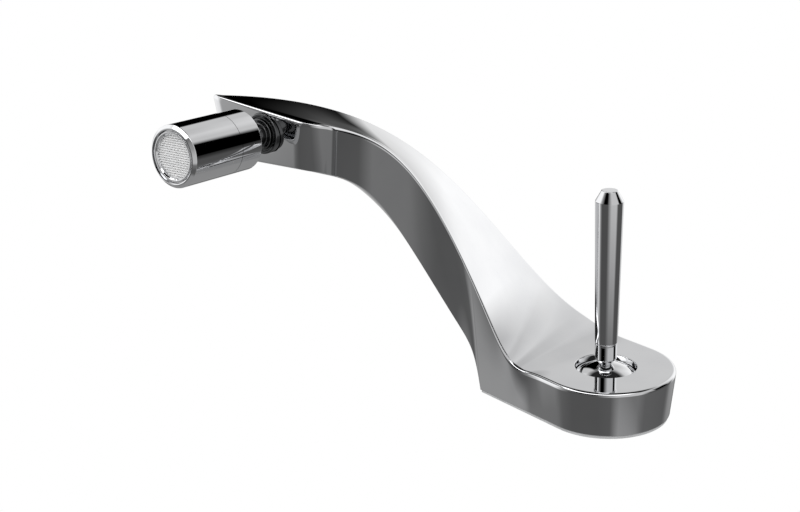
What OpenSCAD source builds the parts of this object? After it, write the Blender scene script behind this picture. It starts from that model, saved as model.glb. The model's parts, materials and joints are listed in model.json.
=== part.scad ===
// Deck-mounted bidet mixer: one cast body that curls from its base up to a swivelling outlet,
// with a joystick lever over a ceramic-disc cartridge held in the threaded shank.
// Origin on the lever axis at deck level, +Z up, outlet towards -Y, arm towards -X. Millimetres.

/* [Base] */
// Half width of the base and radius of its round end
base_r = 29; // [26:0.5:34]
// Height of the flat top above the deck
base_h = 20.9; // [18:0.1:26]
// Thickness of the sealing sheet under the base
gasket_t = 1.2; // [0.8:0.1:2]
// Inward lean of every side wall, mm per mm of height
wall_draft = 0.098; // [0.06:0.002:0.12]
// Round on the top edges
edge_r = 1; // [0.6:0.1:1.5]

/* [Arm] */
// Straight length from the lever axis to the start of the turn
turn_x = 8; // [4:0.5:16]
// Radius of the inner edge of the turn
turn_r = 52; // [46:0.5:60]
// Angle of the turn seen from above
turn_deg = 105; // [95:1:110]
// Straight length after the turn
end_len = 7; // [2:0.5:12]
// Rise of the inner top edge from base to end
rise_in = 109.5; // [95:0.5:125]
// Rise of the outer top edge from base to end
rise_out = 115.5; // [95:0.5:130]
// Height of the arm where it leaves the foot
root_t = 40; // [32:0.5:42]
// Height of the end face at its inner side
end_t = 19.8; // [18:0.2:24]
// Round on the inner upright corner of the end face
corner_in = 12; // [8:0.5:16]
// Round on the outer upright corner of the end face
corner_out = 3; // [2:0.5:6]

/* [Lever] */
// Height of the lever's flat top above the base
lever_h = 76.2; // [60:0.2:90]
// Widest radius, near the top
lever_r = 5.8; // [5:0.1:7]
// Radius at the foot of the taper
lever_foot_r = 4.7; // [4:0.1:5.5]
// Radius of the dome that covers the cartridge
dome_r = 22; // [21.5:0.1:23]
// Height of the dome's top above the base
dome_rise = 1.1; // [0.8:0.1:1.6]
// Height of the dome itself
dome_h = 8; // [7:0.2:8.2]
// Thickness of the dome
dome_t = 1.4; // [1:0.1:1.6]
// Radius of the round opening in the base
dish_r = 12.8; // [12:0.1:13.5]
// Height of the collar's top above the base
collar_h = 10.5; // [8:0.5:14]
// Radius of the spindle inside the lever
stem_r = 2.5; // [2.2:0.1:2.8]

/* [Cartridge] */
// Length from tilt axis to the ball that drives the disc
drive_len = 12; // [11.5:0.1:12.5]
// Radius of that ball
drive_r = 2.2; // [2:0.1:2.4]
// Radius of the carrier that turns with the lever
carrier_r = 8; // [7.8:0.1:8.2]
// Thickness of the moving disc
disc_t = 3; // [2.5:0.1:4]
// Thickness of the fixed disc
fixed_t = 3.2; // [2.5:0.1:4]
// Height of the cartridge base above its flange
plug_h = 7.2; // [6:0.2:9]
// Thickness of that flange
flange_t = 2; // [1.5:0.1:3]
// Distance of each water port from the axis
port_x = 5.6; // [5.4:0.1:5.8]
// Radius of the water ports
port_r = 2.2; // [1.8:0.1:2.4]
// Height of the nut that holds the cartridge down
hold_h = 3.2; // [2.8:0.1:3.6]

/* [Outlet] */
// Radius of the outlet housing
out_r = 12; // [11.5:0.1:13]
// Depth of the outlet's axis below the top of the end face
out_down = 9.9; // [9.5:0.1:11]
// Distance from the end face to the centre of the ball
ball_off = 19; // [15:0.5:20]
// Distance from the ball's centre to the front of the outlet
out_len = 31.5; // [29:0.5:44]
// Radius of the ball
ball_r = 8.5; // [8.2:0.1:8.6]
// Upward lean of the outlet
out_pitch = 1.7; // [-3:0.1:5]
// Distance from the ball's centre to the joint of rear collar and front sleeve
joint_z = 5.9; // [5:0.1:7]
// Distance from the ball's centre to the seat of the aerator
seat_z = 9; // [8.5:0.5:16]
// Wall of the front sleeve
sleeve_t = 1.9; // [1.3:0.1:2.2]
// Radius of the flange that seats the ball's stem on the end face
seat_r = 8.1; // [7.5:0.1:8.4]
// How far that flange stands out of the end face
seat_out = 2; // [1:0.1:3]

/* [Fixing] */
// Radius of the threaded shank
shank_r = 16; // [15.5:0.1:16.5]
// Length of the shank below the deck
shank_len = 54; // [50:1:70]
// Wall of the shank
shank_wall = 3.5; // [3.2:0.1:3.8]
// Thickness of the deck it clamps
deck_t = 15; // [6:1:18]
// How far the washers and the nut reach past the shank
clamp_w = 8; // [6:0.5:12]
// Thickness of the rubber washer
rubber_t = 3; // [2:0.5:4]
// Thickness of the steel washer
plate_t = 2; // [1.5:0.5:3]
// Height of the shank nut
nut_h = 9; // [7:0.5:12]
// Height of the round flange on that nut
nut_flange = 2; // [1.5:0.5:3]
// Core radius of the hose threads
inlet_r = 4.6; // [4.4:0.1:4.8]
// Depth of the hose threads
inlet_len = 12; // [10:0.5:14]
// Radius of the water passage in the arm
water_r = 2.8; // [2.4:0.1:3]

/* [Hidden] */
$fn = 64;
arm_w = 2 * base_r;
mid_r = turn_r + base_r;
arc_len = mid_r * turn_deg * PI / 180;
arm_len = arc_len + end_len;
foot_len = 0.3375 * arm_len;
foot_soft = 1.7;
lean_len = 12;
base_low = gasket_t - base_h;
foot_half = base_r + wall_draft * base_low;
fit = 0.05;
run = 0.08;
gap = 0.3;

// Heights of the cartridge, from the tilt axis at the dome's centre down to the hose threads.
axis_z = base_h + dome_rise - dome_r;
cavity_r = dome_r + gap + 0.1;
lip_z = axis_z + sqrt(cavity_r * cavity_r - dish_r * dish_r);
cart_top = axis_z + 5.2;
well_z = cart_top + hold_h + 0.2;
disc_top = axis_z - drive_len - drive_r - gap;
disc_low = disc_top - disc_t;
fixed_low = disc_low - 0.1 - fixed_t;
plug_low = fixed_low - plug_h;
flange_low = plug_low - flange_t;
seal_t = 1;
seal_low = flange_low - seal_t;
nut_z = -deck_t - rubber_t - plate_t;
thread_pitch = 1.5;
thread_d = 0.9;
thread_r = shank_r - 0.15;
shank_in = shank_r - shank_wall;
cart_r = shank_in - 2 * fit;
bore_r = carrier_r + 2.5;
mesh_z = out_len - 2.4;
insert_z = seat_z + 1.5;
ring_r = out_r - sleeve_t - 0.1;
bezel_w = 1.2;
groove_w = 0.4;
hollow_r = ball_r + 1.5;
rear_z = -7;
rear_bevel = 2.5;
rear_r = 8.6;
neck_r = 4.4;
stem_out = 5;
spot_d = 1.5;
stem_seal_t = 0.5;
pin_r = 1.5;
hub_w = 6.2;
hub_r = 4;
slot_w = hub_w + 2 * gap;
slot_wall = 2.2;
rod_in = 4.5;
driver_h = 4.2;
skirt_z = disc_top + driver_h + 0.1;
carrier_low = axis_z - 7;
carrier_h = 11.9;
stem_len = 14;
liner_lo = -4.8;
liner_hi = -2.2;
side_z = gasket_t + 1.8;
side_r = 1.4;

// Plan point at length s along the middle of the arm and radius r from the centre of the turn.
function turn_at(s) = min(max(s, 0), arc_len) / mid_r * 180 / PI;
function run_on(s) = max(s - arc_len, 0);
function plan(s, r) = let (t = turn_at(s), e = run_on(s)) [
  -(turn_x + min(s, 0) + r * sin(t) + e * cos(turn_deg)),
  -(mid_r - r * cos(t) + e * sin(turn_deg))];

// Soft ramp: level, then a steady climb, then an eased crest.
function soft(x, w) = x > 20 * w ? x : w * ln(1 + exp(x / w));
function climb(u, a, wa, b, wb, m) = soft(u - a, wa) - (1 - m) * soft(u - b, wb);
function ease(x) = x < 0 ? 0 : x > 1 ? 1 : x * x * (3 - 2 * x);
function ramp(s, a, wa, b, wb, m) = ease(7 * s / arm_len)
  * climb(s / arm_len, a, wa, b, wb, m) / climb(1, a, wa, b, wb, m);
function top_in(s) = s <= 0 ? 0 : rise_in * ramp(s, 0.183, 0.0295, 0.558, 0.1023, 0.114);
function top_out(s) = s <= 0 ? 0 : rise_out * ramp(s, 0.21, 0.075, 0.424, 0.13, 0.079);

// Height of the arm, and its level underside with the foot that still hangs below it.
function arm_t(s) = end_t + (root_t - end_t) / (1 + exp((s / arm_len - 0.641) / 0.073));
function foot_drop(s) = exp(-(s - foot_len) / foot_soft);
function low(s) = s <= foot_len ? base_low
  : top_in(s) - arm_t(s) - foot_drop(s) * (top_in(foot_len) - arm_t(foot_len) - base_low);

// Inner and outer radius of the arm with the rounded corners of the end face.
function nose(s, c) = let (d = max(s - arm_len + c, 0)) c - sqrt(max(c * c - d * d, 0));
function in_r(s) = turn_r + nose(s, corner_in);
function out_edge(s) = turn_r + arm_w - nose(s, corner_out);
function straight_low(s) = (mid_r - foot_half) / cos(turn_at(s));
function foot_lean() = (straight_low(foot_len) - turn_r) / (top_in(foot_len) - base_low);
function in_lean(s) = wall_draft + (foot_lean() - wall_draft) * exp(-(s - foot_len) / lean_len);
function low_in(s) = s <= foot_len ? straight_low(s) : in_r(s) + in_lean(s) * (top_in(s) - low(s));
function low_out(s) = out_edge(s) - wall_draft * (top_out(s) - low(s));

// One closed section: inner wall, top, outer wall, underside. Inset k rounds the end face.
function section(s, k) = let (
    a = in_r(s) + k, b = out_edge(s) - k, e = edge_r,
    zi = top_in(s) - k, zo = top_out(s) - k,
    la = low_in(s) + k, lb = low_out(s) - k, zl = low(s))
  [[la, zl], [(la + a) / 2, (zl + zi) / 2], [a + wall_draft * e, zi - e], [a + 0.3 * e, zi - 0.3 * e],
   [a + e, zi], [a + (b - a) * 0.3, zi + (zo - zi) * 0.3], [a + (b - a) * 0.5, zi + (zo - zi) * 0.5],
   [a + (b - a) * 0.7, zi + (zo - zi) * 0.7], [b - e, zo], [b - 0.3 * e, zo - 0.3 * e],
   [b - wall_draft * e, zo - e], [(lb + b) / 2, (zl + zo) / 2], [lb, zl],
   [(la + lb) / 2, zl]];
// The end face leans like the walls, so the last sections slide back towards their lower edge.
function lean(s, z) = wall_draft * (top_out(arm_len) - z) * ease((s - arm_len + corner_in) / corner_in);
function ring(s, k) = [for (q = section(s, k))
  concat(plan(s - lean(s, q[1]), q[0]), [base_h + q[1]])];

steps = concat(
  [for (i = [0 : 2]) -turn_x + i * turn_x / 3],
  [for (i = [0 : 19]) i * foot_len / 20],
  [for (i = [0 : 11]) foot_len + 9 * pow(i / 12, 2)],
  [for (i = [0 : 33]) foot_len + 9 + i * (arm_len - corner_in - foot_len - 9) / 34],
  [for (i = [0 : 7]) arm_len - corner_in + (corner_in - edge_r) * sin(90 * i / 8)],
  [arm_len - edge_r, arm_len - 0.3 * edge_r, arm_len]);
insets = [for (s = steps) s > arm_len - 0.1 ? edge_r : s > arm_len - 0.5 * edge_r ? 0.3 * edge_r : 0];

module curl() {
  rings = [for (i = [0 : len(steps) - 1]) ring(steps[i], insets[i])];
  n = len(rings[0]);
  m = len(rings);
  polyhedron(
    points = [for (g = rings) each g],
    faces = concat(
      [for (j = [0 : n - 3]) [n - 1, j, j + 1]],
      [for (i = [0 : m - 2], j = [0 : n - 1]) each
        let (a = i * n + j, b = i * n + (j + 1) % n) [[a, a + n, b], [b, a + n, b + n]]],
      [for (j = [0 : n - 3]) [m * n - 1, (m - 1) * n + j + 1, (m - 1) * n + j]]));
}

// Round end of the base under the lever, meeting the arm on the plane x = 0.
module round_end() {
  e = edge_r;
  rotate([0, 0, -90])
    rotate_extrude(angle = 180)
      polygon([[0, gasket_t], [foot_half, gasket_t], [base_r - wall_draft * e, base_h - e],
        [base_r - 0.3 * e, base_h - 0.3 * e], [base_r - e, base_h], [0, base_h]]);
}

// Centre of the end face, and the frame of the outlet with its ball at the origin.
end_z = base_h + (top_in(arm_len) + top_out(arm_len)) / 2 - out_down;
end_xy = plan(arm_len - wall_draft * out_down, mid_r);
module at_outlet() {
  translate([end_xy[0], end_xy[1], end_z])
    rotate([90 - out_pitch, 0, turn_deg - 90])
      translate([0, 0, ball_off])
        children();
}

// Straight drilling from p to q.
module drill(p, q, r) {
  d = q - p;
  translate(p)
    rotate([0, acos(d[2] / norm(d)), atan2(d[1], d[0])])
      cylinder(r = r, h = norm(d));
}
function core(s, f) = concat(plan(s, mid_r), [base_h + (top_in(s) + top_out(s)) / 2 - f * arm_t(s)]);
waterway = [[-shank_r - 1, 0, gasket_t + 3.2], [-base_r, -2, gasket_t + 4.2],
  [-base_r - 2 * turn_x, -turn_x, base_h - water_r], core(0.45 * arm_len, 0.62),
  core(0.62 * arm_len, 0.52), core(0.78 * arm_len, 0.5), core(0.9 * arm_len, 0.5)];

module body() {
  color([0.8, 0.81, 0.83])
    difference() {
      union() {
        curl();
        round_end();
      }
      translate([0, 0, -1]) cylinder(r = shank_r + 2.5, h = well_z + 1.1);
      intersection() {
        translate([0, 0, axis_z]) sphere(r = cavity_r);
        translate([0, 0, well_z]) cylinder(r = cavity_r + 1, h = lip_z + 0.1 - well_z);
      }
      cylinder(r = dish_r, h = base_h + 5);
      translate([0, 0, lip_z - 2.9]) cylinder(r = dish_r + 2.6, h = 2.2);
      at_outlet() {
        translate([0, 0, -ball_off - spot_d]) cylinder(r = seat_r + gap, h = spot_d + 5);
        translate([0, 0, -ball_off - stem_len - 2]) cylinder(r = stem_out, h = stem_len + 2);
      }
      for (i = [0 : 5]) drill(waterway[i], waterway[i + 1], water_r);
      for (i = [1 : 6]) translate(waterway[i]) sphere(r = water_r + 0.5);
    }
}

// Sealing sheet between the base and the deck, a little smaller than the foot.
module base_gasket() {
  q = 0.6;
  r = foot_half - q;
  far = [for (i = [0 : 14]) let (s = (foot_len - q) * (1 - i / 14)) plan(s, low_out(s) - q)];
  tip = [for (a = [90 : -6 : -90]) [r * cos(a), r * sin(a)]];
  color([0.62, 0.63, 0.64])
    difference() {
      linear_extrude(height = gasket_t)
        polygon(concat([plan(foot_len - q, low_in(foot_len) + q)], far, tip));
      translate([0, 0, -1]) cylinder(r = shank_r + 2.6, h = gasket_t + 2);
    }
}

// Thread below the nut, drawn as rings of its true profile from the nut down to the shank's foot.
module thread() {
  top = nut_z - nut_h;
  turns = floor((shank_len + top) / thread_pitch);
  rotate_extrude($fn = 40)
    polygon(concat([[0, top + 1], [thread_r - thread_d, top + 1]],
      [for (i = [0 : turns - 1]) each let (z = top - i * thread_pitch)
        [[thread_r - thread_d, z], [thread_r, z - 0.4 * thread_pitch], [thread_r, z - 0.6 * thread_pitch]]],
      [[thread_r - thread_d, top - turns * thread_pitch], [thread_r - thread_d, -shank_len],
        [0, -shank_len]]));
}

// Threaded shank: its head screws up into the base and its tube carries the cartridge.
module shank() {
  color([0.78, 0.62, 0.32])
    difference() {
      union() {
        translate([0, 0, nut_z - nut_h]) cylinder(r = thread_r, h = cart_top - 0.2 - nut_z + nut_h);
        translate([0, 0, -deck_t]) cylinder(r = shank_r, h = deck_t);
        cylinder(r = shank_r + 2.4, h = cart_top - 0.2);
        thread();
      }
      translate([0, 0, -shank_len - 1]) cylinder(r = shank_in, h = shank_len + cart_top + 2);
      translate([-shank_r - 4, 0, side_z]) rotate([0, 90, 0]) cylinder(r = side_r, h = shank_wall + 4.5);
    }
}

module washer(r_in, r_out, z, t) {
  translate([0, 0, z])
    difference() {
      cylinder(r = r_out, h = t);
      translate([0, 0, -1]) cylinder(r = r_in, h = t + 2);
    }
}

module rubber_washer() {
  color([0.1, 0.1, 0.1]) washer(shank_r + 0.3, shank_r + clamp_w, -deck_t - rubber_t, rubber_t);
}

module clamp_washer() {
  color([0.7, 0.71, 0.72]) washer(shank_r + 0.2, shank_r + clamp_w, nut_z, plate_t);
}

module shank_nut() {
  color([0.76, 0.6, 0.3])
    translate([0, 0, nut_z - nut_h])
      difference() {
        union() {
          cylinder(r = shank_r + 0.7 * clamp_w, h = nut_h, $fn = 6);
          translate([0, 0, nut_h - nut_flange]) cylinder(r = shank_r + 0.75 * clamp_w, h = nut_flange);
        }
        translate([0, 0, -1]) cylinder(r = thread_r + fit, h = nut_h + 2);
      }
}

// Plug in the foot of the shank with the two hose threads.
module inlet_block() {
  color([0.78, 0.62, 0.32])
    translate([0, 0, -shank_len])
      difference() {
        cylinder(r = shank_in - fit, h = shank_len + seal_low);
        for (x = [-port_x, port_x]) translate([x, 0, 0]) {
          translate([0, 0, -1]) cylinder(r = inlet_r, h = inlet_len + 1);
          cylinder(r = port_r, h = shank_len);
        }
      }
}

module port_seals() {
  color([0.12, 0.12, 0.12])
    for (x = [-port_x, port_x]) translate([x, 0, 0]) washer(port_r + 0.2, port_r + 2, seal_low, seal_t);
}

module cartridge_base() {
  color([0.86, 0.87, 0.85])
    difference() {
      union() {
        translate([0, 0, flange_low]) cylinder(r = cart_r, h = flange_t);
        translate([0, 0, plug_low]) cylinder(r = bore_r - 0.1, h = plug_h);
      }
      for (x = [-port_x, port_x])
        translate([x, 0, flange_low - 1]) cylinder(r = port_r, h = flange_t + plug_h + 2);
    }
}

module cartridge_housing() {
  color([0.9, 0.9, 0.88])
    difference() {
      translate([0, 0, plug_low]) cylinder(r = cart_r, h = cart_top - plug_low);
      translate([0, 0, plug_low - 1]) cylinder(r = bore_r, h = axis_z - 4.6 - plug_low);
      translate([0, 0, axis_z - 8]) cylinder(r = carrier_r + run, h = 20);
      translate([-cart_r - 1, 0, side_z])
        rotate([0, 90, 0]) cylinder(r = side_r, h = cart_r + 0.6 - carrier_r);
    }
}

module fixed_disc() {
  color([0.93, 0.92, 0.88])
    difference() {
      translate([0, 0, fixed_low]) cylinder(r = bore_r - 0.2, h = fixed_t);
      for (x = [-port_x, port_x])
        translate([x, 0, fixed_low - 1]) cylinder(r = port_r - 0.2, h = fixed_t + 2);
    }
}

module cartridge_nut() {
  color([0.76, 0.6, 0.3])
    difference() {
      translate([0, 0, cart_top]) cylinder(r = shank_r + 2.45, h = hold_h);
      translate([0, 0, cart_top - 1]) cylinder(r = carrier_r + 1.2, h = hold_h + 2);
      for (a = [0 : 90 : 270]) rotate([0, 0, a])
        translate([shank_r - 2.5, 0, cart_top + 1.8]) cylinder(r = 1.4, h = hold_h);
    }
}

// Slide ring under the lip of the opening, hollowed to follow the dome.
module dish_seal() {
  color([0.12, 0.12, 0.13])
    difference() {
      translate([0, 0, lip_z - 2.9]) cylinder(r = dish_r + 2.55, h = 2.15);
      translate([0, 0, axis_z]) sphere(r = dome_r + gap, $fn = 96);
    }
}

module moving_disc() {
  color([0.95, 0.94, 0.9]) translate([0, 0, disc_low]) cylinder(r = 6, h = disc_t);
}

module disc_driver() {
  color([0.5, 0.52, 0.55])
    difference() {
      translate([0, 0, disc_top]) cylinder(r = carrier_r - 1, h = driver_h);
      translate([0, 0, disc_top - 1]) cylinder(r = drive_r + gap, h = driver_h + 2);
    }
}

// Turns with the lever, carries the tilt pin across its slot and presses on the driver with its skirt.
module turn_carrier() {
  color([0.55, 0.57, 0.6])
    difference() {
      union() {
        translate([0, 0, skirt_z]) cylinder(r = bore_r - 0.7, h = carrier_low + 1.1 - skirt_z);
        translate([0, 0, carrier_low]) cylinder(r = carrier_r, h = carrier_h);
      }
      translate([0, 0, skirt_z - 1]) cylinder(r = carrier_r - 1.8, h = carrier_low + 2.4 - skirt_z);
      translate([-slot_w / 2, slot_wall - carrier_r, carrier_low - 1])
        cube([slot_w, 2 * (carrier_r - slot_wall), carrier_h + 2]);
      translate([-carrier_r - 1, 0, axis_z]) rotate([0, 90, 0]) cylinder(r = pin_r, h = 2 * carrier_r + 2);
    }
}

module tilt_pin() {
  color([0.7, 0.71, 0.73])
    translate([0.6 - carrier_r, 0, axis_z]) rotate([0, 90, 0]) cylinder(r = pin_r, h = 2 * carrier_r - 1.2);
}

module spindle() {
  color([0.72, 0.73, 0.75])
    translate([0, 0, axis_z])
      difference() {
        union() {
          translate([0, 0, -drive_len]) cylinder(r = drive_r - 0.5, h = drive_len);
          cylinder(r = stem_r, h = base_h - axis_z + collar_h + rod_in);
          translate([-hub_w / 2, 0, 0]) rotate([0, 90, 0]) cylinder(r = hub_r, h = hub_w);
          translate([0, 0, -drive_len]) sphere(r = drive_r);
        }
        translate([-hub_w, 0, 0]) rotate([0, 90, 0]) cylinder(r = pin_r + run, h = 2 * hub_w);
      }
}

// Dome shell centred on the tilt axis, so that it fills the opening at every tilt.
module dome_cap() {
  color([0.8, 0.81, 0.83])
    translate([0, 0, axis_z])
      difference() {
        sphere(r = dome_r, $fn = 96);
        sphere(r = dome_r - dome_t, $fn = 96);
        translate([0, 0, -dome_r]) cylinder(r = dome_r + 5, h = 2 * dome_r - dome_h);
        cylinder(r = stem_r, h = dome_r + 5);
      }
}

module lever_collar() {
  color([0.8, 0.81, 0.83])
    translate([0, 0, base_h])
      rotate_extrude()
        polygon([[stem_r, dome_rise + 0.1], [stem_r + 0.2, dome_rise + 0.1],
          [lever_foot_r - 0.15, dome_rise + 2.5], [lever_foot_r - 0.15, collar_h], [stem_r, collar_h]]);
}

module lever_rod() {
  color([0.8, 0.81, 0.83])
    translate([0, 0, base_h])
      rotate_extrude()
        polygon([[stem_r, collar_h], [lever_foot_r - 0.3, collar_h], [lever_foot_r, collar_h + 0.4],
          [lever_r, lever_h - 4.8], [lever_r - 0.25, lever_h - 4.2], [lever_r - 2.3, lever_h - 0.25],
          [lever_r - 2.6, lever_h], [0, lever_h], [0, collar_h + rod_in], [stem_r, collar_h + rod_in]]);
}

// Fixed ball on a hollow threaded stem.
module ball_stem() {
  color([0.74, 0.75, 0.77])
    at_outlet()
      difference() {
        union() {
          intersection() {
            sphere(r = ball_r, $fn = 96);
            translate([0, 0, -ball_r]) cylinder(r = ball_r + 1, h = ball_r + 6.6);
          }
          translate([0, 0, -ball_off]) cylinder(r = neck_r, h = ball_off);
          translate([0, 0, stem_seal_t - ball_off - spot_d])
            cylinder(r = seat_r, h = spot_d + seat_out - stem_seal_t);
          translate([0, 0, -ball_off - stem_len]) cylinder(r = stem_out, h = stem_len);
        }
        translate([0, 0, -ball_off - stem_len - 1])
          cylinder(r = water_r, h = ball_off + stem_len + ball_r + 2);
      }
}

module stem_seal() {
  color([0.12, 0.12, 0.12])
    at_outlet() washer(stem_out + 0.1, seat_r - 0.3, -ball_off - spot_d, stem_seal_t);
}

module ball_liner() {
  color([0.2, 0.2, 0.21])
    at_outlet()
      difference() {
        sphere(r = ball_r + 1.2, $fn = 96);
        sphere(r = ball_r + gap, $fn = 96);
        translate([0, 0, liner_hi]) cylinder(r = 2 * ball_r, h = 2 * ball_r);
        translate([0, 0, liner_lo - 2 * ball_r]) cylinder(r = 2 * ball_r, h = 2 * ball_r);
      }
}

module ball_gasket() {
  color([0.14, 0.14, 0.15])
    at_outlet()
      difference() {
        translate([0, 0, joint_z - 3.7]) cylinder(r = hollow_r - run, h = 2.8);
        sphere(r = ball_r + gap, $fn = 96);
      }
}

// Rear half of the outlet housing: a chamfered collar hollowed around the ball.
module swivel_nut() {
  color([0.8, 0.81, 0.83])
    at_outlet()
      difference() {
        rotate_extrude()
          polygon([[0, rear_z], [out_r - rear_bevel, rear_z], [out_r - 0.15, rear_z + rear_bevel],
            [out_r, rear_z + rear_bevel + 0.3], [out_r, joint_z - 0.15], [out_r - 0.15, joint_z],
            [0, joint_z]]);
        sphere(r = hollow_r, $fn = 96);
        cylinder(r = hollow_r, h = 10);
        translate([0, 0, rear_z - 1]) cylinder(r = rear_r, h = 3);
      }
}

module swivel_sleeve() {
  color([0.8, 0.81, 0.83])
    at_outlet()
      rotate_extrude()
        polygon([[out_r - 4.4, joint_z - 0.6], [hollow_r - fit, joint_z - 0.6], [hollow_r - fit, joint_z],
          [out_r - 0.15, joint_z], [out_r, joint_z + 0.15], [out_r, out_len - 1.3],
          [out_r - 0.15 * sleeve_t, out_len - 0.75], [out_r - 0.6 * sleeve_t, out_len - 0.1],
          [out_r - 0.8 * sleeve_t, out_len], [out_r - sleeve_t, out_len - 0.2],
          [out_r - sleeve_t, seat_z], [out_r - 4.4, seat_z]]);
}

module aerator_washer() {
  color([0.12, 0.12, 0.12])
    at_outlet() washer(out_r - 4.2, out_r - sleeve_t - 0.1, seat_z, insert_z - seat_z);
}

module aerator_insert() {
  color([0.85, 0.86, 0.86])
    at_outlet()
      difference() {
        translate([0, 0, insert_z]) cylinder(r = out_r - sleeve_t - 0.1, h = mesh_z - insert_z);
        translate([0, 0, insert_z + 2.5]) cylinder(r = out_r - sleeve_t - 1.7, h = out_len);
        for (a = [0 : 45 : 315]) rotate([0, 0, a])
          translate([5, 0, insert_z - 1]) cylinder(r = 1, h = 6);
      }
}

module mesh_screen() {
  color([0.75, 0.76, 0.77])
    at_outlet() translate([0, 0, mesh_z]) cylinder(r = out_r - sleeve_t - 0.5, h = 0.6);
}

module aerator_ring() {
  color([0.84, 0.85, 0.86])
    at_outlet()
      rotate_extrude()
        polygon([[ring_r - groove_w - bezel_w, mesh_z + 0.6], [ring_r, mesh_z + 0.6], [ring_r, out_len - 1.2],
          [ring_r - groove_w, out_len - 1.2], [ring_r - groove_w, out_len - 0.5],
          [ring_r - groove_w - 0.25, out_len - 0.3], [ring_r - groove_w - 0.6 * bezel_w, out_len - 0.3],
          [ring_r - groove_w - bezel_w, out_len - 0.9]]);
}

body();
base_gasket();
shank();
rubber_washer();
clamp_washer();
shank_nut();
inlet_block();
port_seals();
cartridge_base();
cartridge_housing();
fixed_disc();
cartridge_nut();
dish_seal();
moving_disc();
disc_driver();
turn_carrier();
tilt_pin();
spindle();
dome_cap();
lever_collar();
lever_rod();
ball_stem();
stem_seal();
ball_liner();
ball_gasket();
swivel_nut();
swivel_sleeve();
aerator_washer();
aerator_insert();
mesh_screen();
aerator_ring();
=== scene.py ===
import json
import math

import bmesh
import bpy
from mathutils import Matrix, Vector


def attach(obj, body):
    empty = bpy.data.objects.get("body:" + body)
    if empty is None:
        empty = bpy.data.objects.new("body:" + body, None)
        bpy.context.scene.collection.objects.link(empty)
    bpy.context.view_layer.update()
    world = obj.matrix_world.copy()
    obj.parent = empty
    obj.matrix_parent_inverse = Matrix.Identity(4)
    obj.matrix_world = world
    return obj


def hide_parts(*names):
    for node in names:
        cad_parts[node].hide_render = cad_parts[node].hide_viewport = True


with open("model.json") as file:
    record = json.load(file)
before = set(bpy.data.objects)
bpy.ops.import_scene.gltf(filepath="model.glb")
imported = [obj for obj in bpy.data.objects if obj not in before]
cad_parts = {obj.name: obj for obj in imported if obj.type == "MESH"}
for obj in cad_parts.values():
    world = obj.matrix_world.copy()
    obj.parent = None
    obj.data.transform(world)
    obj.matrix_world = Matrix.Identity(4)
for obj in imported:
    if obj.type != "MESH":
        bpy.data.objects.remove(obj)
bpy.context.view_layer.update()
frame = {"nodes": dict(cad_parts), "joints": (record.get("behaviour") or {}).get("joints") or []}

# Casting
# The body is one brass casting, ground, polished and chrome plated. From a low base it turns and climbs
# like a ribbon to a square-cut end. Its walls lean in towards the deck, and its top edges are broken with
# a small round.
CASTING = {
    "Base radius": 0.029,
    "Base height": 0.0209,
    "Sheet under base": 0.0012,
    "Wall draft": 0.098,
    "Edge round": 0.0015,
    "Lower edge round": 0.0004,
    "Turn start": 0.008,
    "Turn radius": 0.052,
    "Turn angle": math.radians(105),
    "End length": 0.007,
    "Inner rise": 0.1095,
    "Outer rise": 0.1155,
    "Root height": 0.04,
    "End height": 0.0198,
    "Inner corner": 0.012,
    "Outer corner": 0.005,
    "Foot softness": 0.0017,
    "Foot lean length": 0.008,
}
FOOT_SHARE = 0.3375
INNER_CLIMB = (0.183, 0.0295, 0.558, 0.1023, 0.114)
OUTER_CLIMB = (0.21, 0.075, 0.424, 0.13, 0.079)
CLIMB_ONSET = 7
THINNING = (0.641, 0.073)
OUTER_LIFT, LIFT_START, LIFT_RISE, LIFT_END, LIFT_FALL = 0.0038, 0.5, 0.14, 0.93, 0.24
FOOT_STEP = 0.0005
UNDER_INSET = 0.4
TIP_ROWS, FOOT_ROWS, STEP_ROWS, ARM_ROWS, CORNER_ROWS, FACE_ROWS = 40, 150, 48, 300, 40, 6
STEP_LENGTH, STEP_CROWDING, FACE_RIM = 0.009, 0.75, 0.03
WALL_COLUMNS, ROUND_COLUMNS, TOP_COLUMNS, UNDER_COLUMNS, SMALL_COLUMNS = 10, 8, 44, 12, 4
STRETCHES, EDGE_STEPS, WALL_STEP, FLAT_STEP = 4, 2, 0.006, 0.004
WELD, MERGE = 1e-6, 1e-7


class Field:
    """A number that varies from place to place, written as arithmetic and kept as Math nodes of a tree."""

    def __init__(self, tree, socket):
        self.tree = tree
        self.socket = socket

    def math(self, operation, *others, clamp=False):
        node = self.tree.nodes.new("ShaderNodeMath")
        node.operation = operation
        node.use_clamp = clamp
        for port, value in zip(node.inputs, (self, *others)):
            if isinstance(value, Field):
                self.tree.links.new(value.socket, port)
            else:
                port.default_value = value
        return Field(self.tree, node.outputs[0])

    def __add__(self, other):
        return self.math("ADD", other)

    def __sub__(self, other):
        return self.math("SUBTRACT", other)

    def __mul__(self, other):
        return self.math("MULTIPLY", other)

    def __truediv__(self, other):
        return self.math("DIVIDE", other)

    def __neg__(self):
        return self.math("MULTIPLY", -1)

    def __rsub__(self, other):
        return -self + other

    __radd__ = __add__
    __rmul__ = __mul__


def share(value):
    """The value held between 0 and 1."""
    if isinstance(value, Field):
        return value.math("ADD", 0, clamp=True)
    return min(max(value, 0), 1)


def exp(value):
    return value.math("EXPONENT") if isinstance(value, Field) else math.exp(value)


def log(value):
    return value.math("LOGARITHM", math.e) if isinstance(value, Field) else math.log(value)


def ease(value):
    """The value held between 0 and 1, with a soft start and a soft end."""
    held = share(value)
    return held * held * (3 - 2 * held)


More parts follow.
